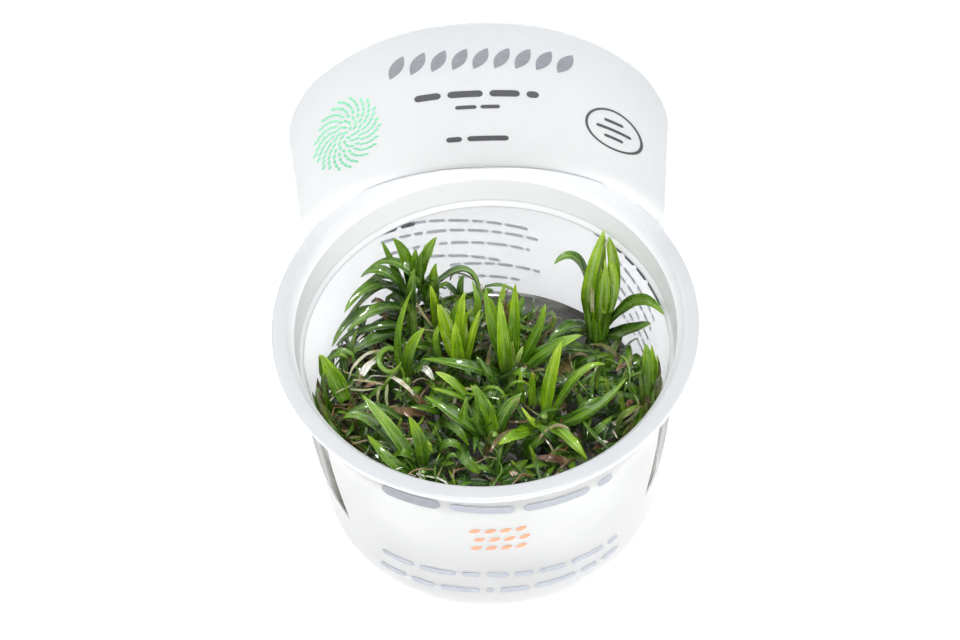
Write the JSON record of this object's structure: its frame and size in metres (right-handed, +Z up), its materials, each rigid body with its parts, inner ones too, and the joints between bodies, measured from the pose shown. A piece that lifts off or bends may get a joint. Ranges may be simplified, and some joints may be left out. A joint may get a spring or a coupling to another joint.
{
  "type": "tissue culture aquarium plant in a cup",
  "caption": "Clear flanged cup of agar gel with young stem plants whose narrow green leaves fill it, wrapped in a white card sleeve that rises at the back as a header.",
  "frame": {"origin": "middle of the cup's flat underside, where it stands", "axes": "+Z up along the cup's axis, -Y towards the front of the card sleeve, +Y towards its raised header"},
  "size_m": [0.0998, 0.0998, 0.1085],
  "materials": {
    "clear_plastic": "clear moulded plastic with a faint cool haze",
    "white_card": "smooth coated white card",
    "agar_gel": "wet dark translucent gel",
    "leaf": "glossy wet leaf, deep green at the foot and yellow-green at the tip",
    "stem": "smooth fleshy stem",
    "undergrowth": "wet tangle of small leaves, roots and brown scraps"
  },
  "bodies": {
    "root": {"cup": "clear_plastic", "card_sleeve": "white_card", "agar_gel": "agar_gel", "undergrowth": "undergrowth", "back_left_stem": "stem", "back_middle_stem": "stem", "back_right_stem": "stem", "centre_left_stem": "stem", "centre_right_stem": "stem", "left_stem": "stem", "right_stem": "stem", "front_centre_stem": "stem", "front_left_stem": "stem", "back_left_leaf_1": "leaf", "back_left_leaf_2": "leaf", "back_left_leaf_3": "leaf", "back_left_leaf_4": "leaf", "back_left_leaf_5": "leaf", "back_left_leaf_6": "leaf", "back_left_leaf_7": "leaf", "back_left_leaf_8": "leaf", "back_left_leaf_9": "leaf", "back_left_leaf_10": "leaf", "back_left_leaf_11": "leaf", "back_middle_leaf_1": "leaf", "back_right_leaf_1": "leaf", "back_right_leaf_2": "leaf", "back_right_leaf_3": "leaf", "back_right_leaf_4": "leaf", "back_right_leaf_5": "leaf", "back_right_leaf_6": "leaf", "back_right_leaf_7": "leaf", "back_right_leaf_8": "leaf", "centre_left_leaf_1": "leaf", "centre_left_leaf_2": "leaf", "centre_left_leaf_3": "leaf", "centre_left_leaf_4": "leaf", "centre_right_leaf_1": "leaf", "centre_right_leaf_2": "leaf", "centre_right_leaf_3": "leaf", "centre_right_leaf_4": "leaf", "centre_right_leaf_5": "leaf", "centre_right_leaf_6": "leaf", "left_leaf_1": "leaf", "left_leaf_2": "leaf", "right_leaf_1": "leaf", "right_leaf_2": "leaf", "right_leaf_3": "leaf", "right_leaf_4": "leaf", "right_leaf_5": "leaf", "right_leaf_6": "leaf", "front_centre_leaf_1": "leaf", "front_centre_leaf_2": "leaf", "front_centre_leaf_3": "leaf", "front_left_leaf_1": "leaf", "front_left_leaf_2": "leaf", "front_left_leaf_3": "leaf", "front_left_leaf_4": "leaf", "left_wall_leaf": "leaf", "right_wall_leaf": "leaf"}
  },
  "joints": []
}
